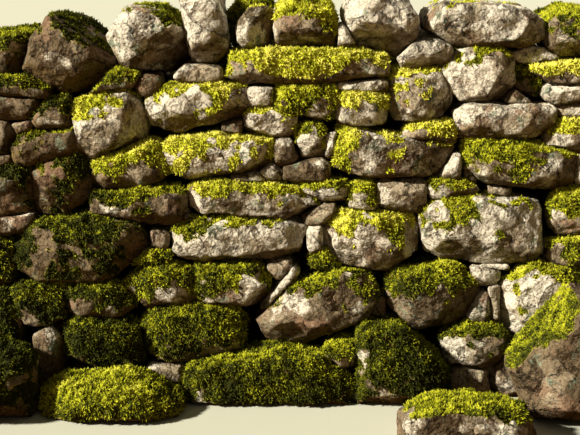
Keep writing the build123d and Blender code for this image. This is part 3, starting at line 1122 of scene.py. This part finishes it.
    def roughen(self, stone: bpy.types.Object, grain: Grain, seed: random.Random) -> None:
        """Breaks a plain stone's corners, roughens its surface and thins its hidden tail.

        Args:
            stone: The object.
            grain: How fine its mesh is.
            seed: The stone's own numbers.
        """
        low, high = self.box(stone)
        size = float(min(high[0] - low[0], high[2] - low[2]))
        if grain.facets:
            self.break_corners(stone, size, grain.facets, seed)
        self.select([stone])
        x, z = self.place_mm(low, high)
        for chip in CHIPS:
            if math.hypot(chip.x - x, chip.z - z) < NEAR_MM:
                self.cut(stone, Vector(chip.way), chip.depth * size)
        voxel = stone.modifiers.new("remesh", "REMESH")
        voxel.mode = "VOXEL"
        voxel.voxel_size = grain.voxel_m
        smooth = stone.modifiers.new("round", "SMOOTH")
        smooth.factor = self.softness
        smooth.iterations = grain.rounding
        self.finish_modifiers(stone)
        self.thin_hidden(stone, grain)
        for relief in ("swell", "break", "knobs"):
            self.push(stone, relief, min(1.0, size / self.fully_rough))
        self.finish_modifiers(stone)

    def thin_hidden(self, stone: bpy.types.Object, grain: Grain) -> None:
        """Thins the mesh where a stone lies inside the wall.

        Args:
            stone: The object.
            grain: How deep the stone shows.
        """
        found = self.points(stone)
        inside = self.depth_inside(found) > grain.shown_depth_m
        inside &= found[:, 2] < self.cope_level
        inside &= np.abs(found[:, 0]) < self.head_start
        if inside.sum() < self.fewest_hidden:
            return
        group = stone.vertex_groups.new(name="hidden")
        group.add([int(i) for i in np.flatnonzero(inside)], 1.0, "REPLACE")
        thin = stone.modifiers.new("thin", "DECIMATE")
        thin.vertex_group = "hidden"
        thin.ratio = float((~inside).sum() + self.hidden_kept * inside.sum()) / len(found)
        self.finish_modifiers(stone)
        stone.vertex_groups.clear()

    def survey(self, stone: bpy.types.Object) -> Survey:
        """Measures a stone point by point.

        Args:
            stone: The object.

        Returns:
            The measures.
        """
        rule = self.weather
        points = self.points(stone)
        normals = np.empty(points.size, np.float32)
        stone.data.vertex_normals.foreach_get("vector", normals)
        low, high = points.min(axis=0), points.max(axis=0)
        across = (2 * points - low - high) / (high - low)
        places = points.tolist()
        broad = np.array([noise.noise(Vector(p) * rule.broad_size) for p in places])
        shift = Vector(rule.fine_shift)
        fine = np.array([noise.noise(Vector(p) * rule.fine_size + shift) for p in places])
        return Survey(points, low, high, across, normals.reshape(-1, 3), broad, fine)

    def growth_for(self, node: str, found: Survey, seed: random.Random) -> Growth:
        """Finds the growth on a stone.

        Args:
            node: The CAD node that the stone belongs to.
            found: The stone's measures.
            seed: The stone's own numbers.

        Returns:
            Its growth.
        """
        if node in BOULDER_GROWTHS:
            return BOULDER_GROWTHS[node]
        x, z = self.place_mm(found.low, found.high)
        near = min(GROWTHS, key=lambda g: math.hypot(g.x - x, g.z - z))
        if math.hypot(near.x - x, near.z - z) < NEAR_MM:
            return near
        if node.startswith(("wall_head", "back")):
            return Growth(x, z, Cover.RIM, *(seed.uniform(*span) for span in self.weather.hidden_growth))
        return Growth(x, z, Cover.BARE)

    def moss_cover(self, growth: Growth, found: Survey) -> np.ndarray:
        """Finds how fully moss covers each point of a stone.

        Args:
            growth: The stone's growth.
            found: The stone's measures.

        Returns:
            The cover, from 0 to 1.
        """
        rule = self.weather
        level, lift = growth.cover.value
        right, _, up = found.normals.T
        amount = level + growth.more + lift * found.across[:, 2] + growth.side * found.across[:, 0]
        amount += rule.moss_up * up + rule.moss_broad * found.broad + rule.moss_fine * found.fine
        amount += growth.toward[0] * right + growth.toward[1] * up
        amount -= rule.moss_under_less * np.clip(rule.under_from - up, 0, 1)
        return np.clip((amount + rule.moss_more) / rule.moss_fades_over, 0, 1).astype(np.float32)

    def lay_moss(self, stone: bpy.types.Object, node: str, seed: random.Random) -> None:
        """Marks where the moss lies on a stone, swells it there and weathers the stone.

        Args:
            stone: The object.
            node: The CAD node that it belongs to.
            seed: The stone's own numbers.
        """
        found = self.survey(stone)
        growth = self.growth_for(node, found, seed)
        moss = self.moss_cover(growth, found)
        self.store(stone, "moss", moss)
        group = stone.vertex_groups.new(name="moss")
        for index in np.flatnonzero(moss > self.weather.least_cushion).tolist():
            group.add([index], float(moss[index]), "REPLACE")
        self.push(stone, "cushion", group="moss")
        self.finish_modifiers(stone)
        stone.vertex_groups.clear()
        self.weather_stone(stone, growth, found, seed)

    def weather_stone(
        self, stone: bpy.types.Object, growth: Growth, found: Survey, seed: random.Random
    ) -> None:
        """Marks a stone's stain and painted shade, tone, crust and painted sunlight, and the shift of its
        patterns.

        Args:
            stone: The object.
            growth: Its growth.
            found: Its measures.
            seed: Its own numbers.
        """
        rule = self.weather
        up, across, left = found.normals[:, 2], found.across, rule.painted_shade_left_of - found.points[:, 0]
        # The stain mask: painted shade under the stone, on its right flank and at the wall's left end,
        # real stain from the broad noise, and darker towards the bottom of the stone.
        stain = rule.painted_shade_under * np.clip(-up, 0, 1) + rule.painted_shade_right * np.clip(across[:, 0], 0, 1) ** 2
        stain += rule.stain_broad * found.broad - rule.lighter_at_top * across[:, 2] - rule.shade_and_stain_less
        stain += rule.painted_shade_left * np.clip(left / rule.left_over, 0, 1)
        # Painted shade over the wall's left end darkens the tone, thins the pale crust and dims the moss.
        shaded = (rule.shaded_left_of - found.low[0]) / rule.left_over
        shade = float(np.clip(shaded, 0, 1)) * rule.most_shade
        # The tone and crust carry the growth's pale, which is partly the stone's own tone and partly
        # painted light and shade.
        tone = seed.uniform(*rule.tone_varies) + growth.pale - rule.tone_shade_less * shade
        crust = seed.uniform(*rule.crust_varies) + rule.crust_pale * growth.pale
        crust -= rule.crust_shade_less * shade
        # Painted sunlight on the moss: the growth's own share, less in the painted shade, more higher up
        # and on faces that look up.
        sunny = growth.sunny - shade + rule.sunny_high * found.points[:, 2] + rule.sunny_up * up
        count = len(found.points)
        shift = np.array([seed.uniform(0, rule.pattern_shift) for _ in range(3)], np.float32)
        self.store(stone, "stain", stain.astype(np.float32))
        self.store(stone, "tone", np.full(count, tone, np.float32))
        self.store(stone, "lichen", np.full(count, crust, np.float32))
        self.store(stone, "sunny", (sunny - rule.sunny_less).astype(np.float32))
        self.store(stone, "shift", np.tile(shift, count), "FLOAT_VECTOR")

    def seat(self, stone: bpy.types.Object) -> None:
        """Flattens what would reach under the floor.

        Args:
            stone: The object.
        """
        found = self.points(stone)
        found[:, 2] = np.maximum(found[:, 2], 0.0)
        stone.data.vertices.foreach_set("co", found.ravel())
        stone.data.update()

    @staticmethod
    def store(stone: bpy.types.Object, name: str, values: np.ndarray, kind: str = "FLOAT") -> None:
        """Stores a value for each point of a mesh.

        Args:
            stone: The object.
            name: The attribute's name.
            values: The values.
            kind: The attribute's type.
        """
        attribute = stone.data.attributes.get(name) or stone.data.attributes.new(name, kind, "POINT")
        attribute.data.foreach_set("vector" if kind == "FLOAT_VECTOR" else "value", values)

    def grow_strands(
        self, stone: bpy.types.Object, grain: Grain, seed: random.Random
    ) -> bpy.types.Object | None:
        """Grows strands of moss where a stone is covered and shows.

        Args:
            stone: The object.
            grain: How dense the strands are.
            seed: The stone's own numbers.

        Returns:
            The strands, or None where the stone has none.
        """
        corners, (a, b, c), normal, weight = self.find_seedbed(stone)
        count = int(weight.sum() * grain.strands_per_m2)
        if count < self.strands.fewest:
            return None
        draw = np.random.default_rng(seed.randrange(SEEDS))
        chosen = draw.choice(len(weight), count, p=weight / weight.sum())
        share = draw.random((count, 2))
        beyond = share.sum(axis=1) > 1
        share[beyond] = 1 - share[beyond]
        root = a[chosen] + share[:, :1] * (b - a)[chosen] + share[:, 1:] * (c - a)[chosen]
        thing = self.build_strands(self.shape_strands(root, normal[chosen], draw))
        self.pass_on(stone, thing, corners[chosen, 0])
        return thing

    def find_seedbed(
        self, stone: bpy.types.Object
    ) -> tuple[np.ndarray, tuple[np.ndarray, ...], np.ndarray, np.ndarray]:
        """Finds the triangles of a stone and how much moss shows on each.

        Args:
            stone: The object.

        Returns:
            The indices of their corners, the three corners, the normals, and the mossy area that
            shows.
        """
        habit, mesh = self.strands, stone.data
        mesh.calc_loop_triangles()
        corners = np.empty(len(mesh.loop_triangles) * 3, np.int32)
        mesh.loop_triangles.foreach_get("vertices", corners)
        corners = corners.reshape(-1, 3)
        found = self.points(stone)
        moss = np.empty(len(found), np.float32)
        mesh.attributes["moss"].data.foreach_get("value", moss)
        a, b, c = (found[corners[:, i]] for i in range(3))
        cross = np.cross(b - a, c - a)
        area = np.linalg.norm(cross, axis=1) / 2
        normal = cross / np.maximum(2 * area[:, None], LEAST_AREA)
        middle = (a + b + c) / 3
        shown = self.depth_inside(middle) < habit.shown_depth
        shown |= middle[:, 2] > habit.shown_above
        shown &= normal[:, 2] > habit.least_upward
        cover = np.clip(moss[corners].mean(axis=1) * habit.cover_gain - habit.cover_less, 0, 1)
        return corners, (a, b, c), normal, area * cover * shown

    def shape_strands(
        self, root: np.ndarray, out: np.ndarray, draw: np.random.Generator
    ) -> np.ndarray:
        """Shapes each strand as a slim pyramid on a foot of three corners.

        Args:
            root: Where the strands grow.
            out: The stone's normals there.
            draw: The numbers that vary them.

        Returns:
            The points, four to a strand with its tip last.
        """
        habit, count = self.strands, len(root)
        droop = np.where(out[:, 2] < habit.hangs_under, habit.hang, habit.rise)
        lean = out * habit.outward + draw.normal(0, habit.lean_varies, (count, 3))
        lean[:, 2] += droop
        lean /= np.linalg.norm(lean, axis=1)[:, None]
        length = draw.uniform(*habit.length, (count, 1))
        width = draw.uniform(*habit.width, (count, 1))
        ridge = out + draw.normal(0, habit.ridge_varies, (count, 3))
        front = root[:, 1] < habit.front_until
        ridge[:, 1] += np.where(front, -habit.ridge_outward, habit.ridge_outward)
        side = np.cross(lean, ridge)
        side /= np.maximum(np.linalg.norm(side, axis=1)[:, None], LEAST_LENGTH)
        ridge = np.cross(side, lean)
        root = root - out * habit.sunk
        turns = (-habit.third_turn, 0.0, habit.third_turn)
        ring = [root + width * (math.cos(t) * ridge + math.sin(t) * side) for t in turns]
        return np.stack([*ring, root + lean * length], axis=1).reshape(-1, 3)

    def build_strands(self, points: np.ndarray) -> bpy.types.Object:
        """Builds the mesh of the strands, with the two sides of each that show.

        Args:
            points: The points, four to a strand.

        Returns:
            The strands.
        """
        start = np.arange(0, len(points), 4)[:, None, None]
        faces = (start + np.array([[0, 1, 3], [1, 2, 3]])).reshape(-1, 3)
        mesh = bpy.data.meshes.new("strands")
        mesh.vertices.add(len(points))
        mesh.vertices.foreach_set("co", points.astype(np.float32).ravel())
        mesh.loops.add(faces.size)
        mesh.loops.foreach_set("vertex_index", faces.astype(np.int32).ravel())
        mesh.polygons.add(len(faces))
        mesh.polygons.foreach_set("loop_start", np.arange(0, faces.size, 3, dtype=np.int32))
        mesh.update(calc_edges=True)
        mesh.materials.append(self.finishes.moss)
        thing = bpy.data.objects.new("strands", mesh)
        bpy.context.scene.collection.objects.link(thing)
        return thing

    def pass_on(self, stone: bpy.types.Object, thing: bpy.types.Object, below: np.ndarray) -> None:
        """Gives the strands the attributes of the stone below them.

        Args:
            stone: The stone.
            thing: The strands.
            below: For each strand the stone's point below it.
        """
        self.store(thing, "tip", np.tile(np.array([0.0, 0.0, 0.0, 1.0], np.float32), len(below)))
        for name, kind, wide in (("sunny", "FLOAT", 1), ("shift", "FLOAT_VECTOR", 3)):
            source = np.empty(len(stone.data.vertices) * wide, np.float32)
            stone.data.attributes[name].data.foreach_get("vector" if wide == 3 else "value", source)
            taken = source.reshape(-1, wide)[below]
            self.store(thing, name, np.repeat(taken, 4, axis=0).ravel(), kind)
        self.store(thing, "moss", np.ones(4 * len(below), np.float32))

    def dress(self, node: str, grain: Grain) -> bpy.types.Object:
        """Makes the rough, mossy piece that stands for one node.

        Args:
            node: The CAD node's name.
            grain: How finely it is modelled.

        Returns:
            The piece.
        """
        stones = self.take_stones(node)
        made = []
        grown = 0
        for index, stone in enumerate(stones):
            seed = random.Random(f"{node}:{index}")
            self.roughen(stone, grain, seed)
            self.lay_moss(stone, node, seed)
            stone.data.materials.clear()
            stone.data.materials.append(self.finishes.stone)
            made.append(stone)
            strands = self.grow_strands(stone, grain, seed)
            if strands is not None:
                made.append(strands)
                grown += len(strands.data.polygons) // 2
        self.select(made)
        if len(made) > 1:
            bpy.ops.object.join()
        piece = bpy.context.view_layer.objects.active
        self.seat(piece)
        piece.name = node + "_rough"
        bpy.ops.object.shade_smooth()
        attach(piece, "root")
        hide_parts(node)
        faces = sum(len(p.vertices) - 2 for p in piece.data.polygons)
        LOG.info("%s: %d stones, %d triangles, %d strands", piece.name, len(stones), faces, grown)
        return piece


@dataclass
class Wall:
    """The whole wall, built node by node."""

    large: Grain = Grain(0.0072, 72000.0)
    small: Grain = Grain(0.0072, 72000.0, facets=6)
    cope: Grain = Grain(0.0090, 52000.0, shown_depth_m=9.0)
    back: Grain = Grain(0.0135, 10000.0, facets=4)
    finishes: Finishes = field(default_factory=Finishes)

    def grain_for(self, node: str) -> Grain:
        """Chooses how finely a node is modelled.

        Args:
            node: The CAD node's name.

        Returns:
            Its grain.
        """
        if node.startswith(("cope", "apron")):
            return self.cope
        if node.startswith(("back", "wall_head")):
            return self.back
        return self.large if node.startswith(("face_stone_", "foot")) else self.small

    def build(self) -> None:
        """Builds every piece."""
        mason = Mason(self.finishes)
        for node in sorted(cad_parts):
            if node == "hearting":
                continue
            mason.dress(node, self.grain_for(node))
        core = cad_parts["hearting"]
        core.data.materials.clear()
        core.data.materials.append(self.finishes.rubble)


def main() -> None:
    """Builds the wall and its stage."""
    logging.basicConfig(level=logging.INFO, format="%(message)s")
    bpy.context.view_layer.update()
    Wall().build()
    Studio().build()


if __name__ == "__main__":
    main()
